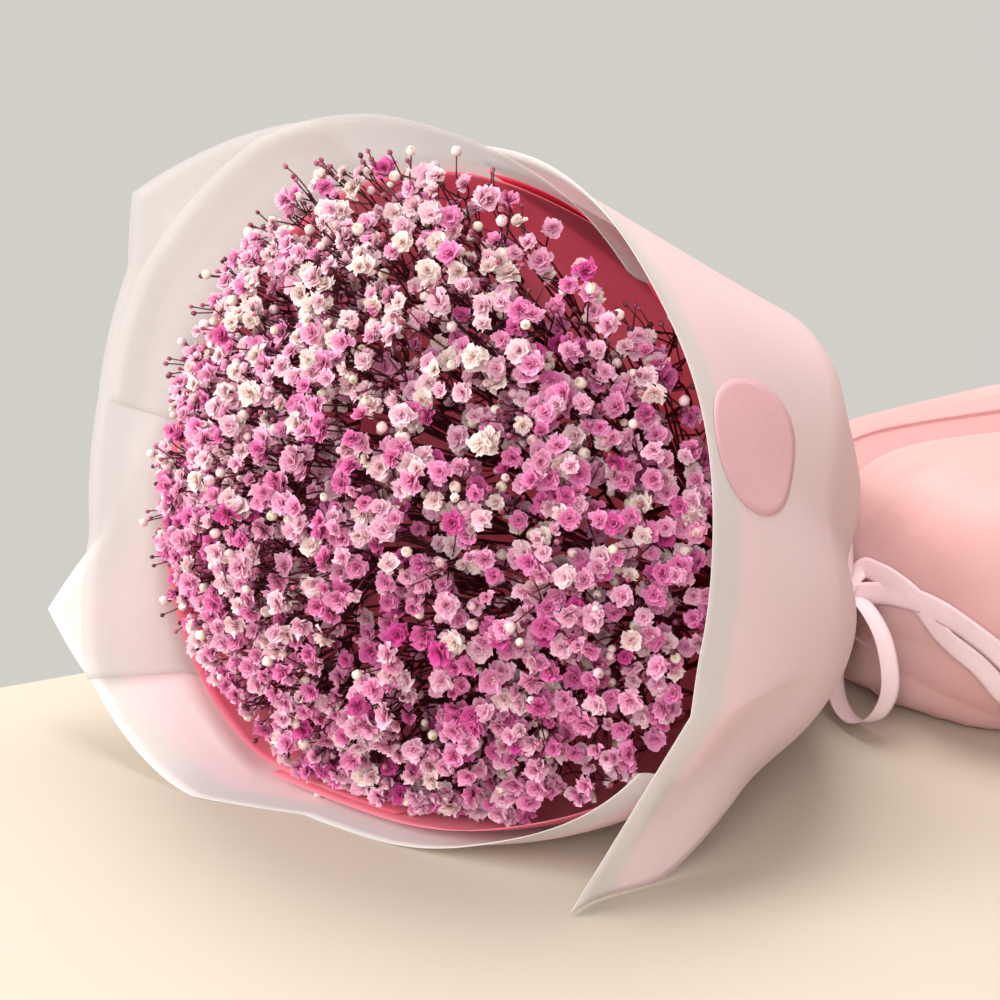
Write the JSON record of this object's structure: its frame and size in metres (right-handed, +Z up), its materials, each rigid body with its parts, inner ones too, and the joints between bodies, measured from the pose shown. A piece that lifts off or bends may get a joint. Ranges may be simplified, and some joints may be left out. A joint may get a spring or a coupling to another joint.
{
  "type": "gypsophila bouquet",
  "caption": "Wrapped bouquet of tinted gypsophila lying on its side, its dome of small double blooms in coral paper and frosted film, tied with satin ribbon.",
  "frame": {"origin": "on the table, under the middle of the bouquet's box", "axes": "+Z up; the bouquet lies along Y with its flowers toward -Y and its wrapped stems toward +Y"},
  "size_m": [0.2548, 0.4522, 0.2368],
  "materials": {
    "coral_paper": "matte nonwoven paper, slightly see-through",
    "frosted_film": "frosted translucent wrapping film, soft sheen",
    "gypsophila": "fresh petals on dark thin stems",
    "twine": "rough natural twine",
    "satin": "satin ribbon with a soft sheen",
    "label": "plain paper label, satin"
  },
  "bodies": {
    "root": {"inner_sheet_left": "coral_paper", "inner_sheet_right": "coral_paper", "film_top": "frosted_film", "film_left": "frosted_film", "film_bottom": "frosted_film", "film_right": "frosted_film", "spray_01": "gypsophila", "spray_02": "gypsophila", "spray_03": "gypsophila", "spray_04": "gypsophila", "spray_05": "gypsophila", "spray_06": "gypsophila", "spray_07": "gypsophila", "spray_08": "gypsophila", "spray_09": "gypsophila", "spray_10": "gypsophila", "spray_11": "gypsophila", "spray_12": "gypsophila", "spray_13": "gypsophila", "spray_14": "gypsophila", "spray_15": "gypsophila", "spray_16": "gypsophila", "spray_17": "gypsophila", "spray_18": "gypsophila", "spray_19": "gypsophila", "stem_tie": "twine", "ribbon": "satin", "sticker": "label"}
  },
  "joints": []
}
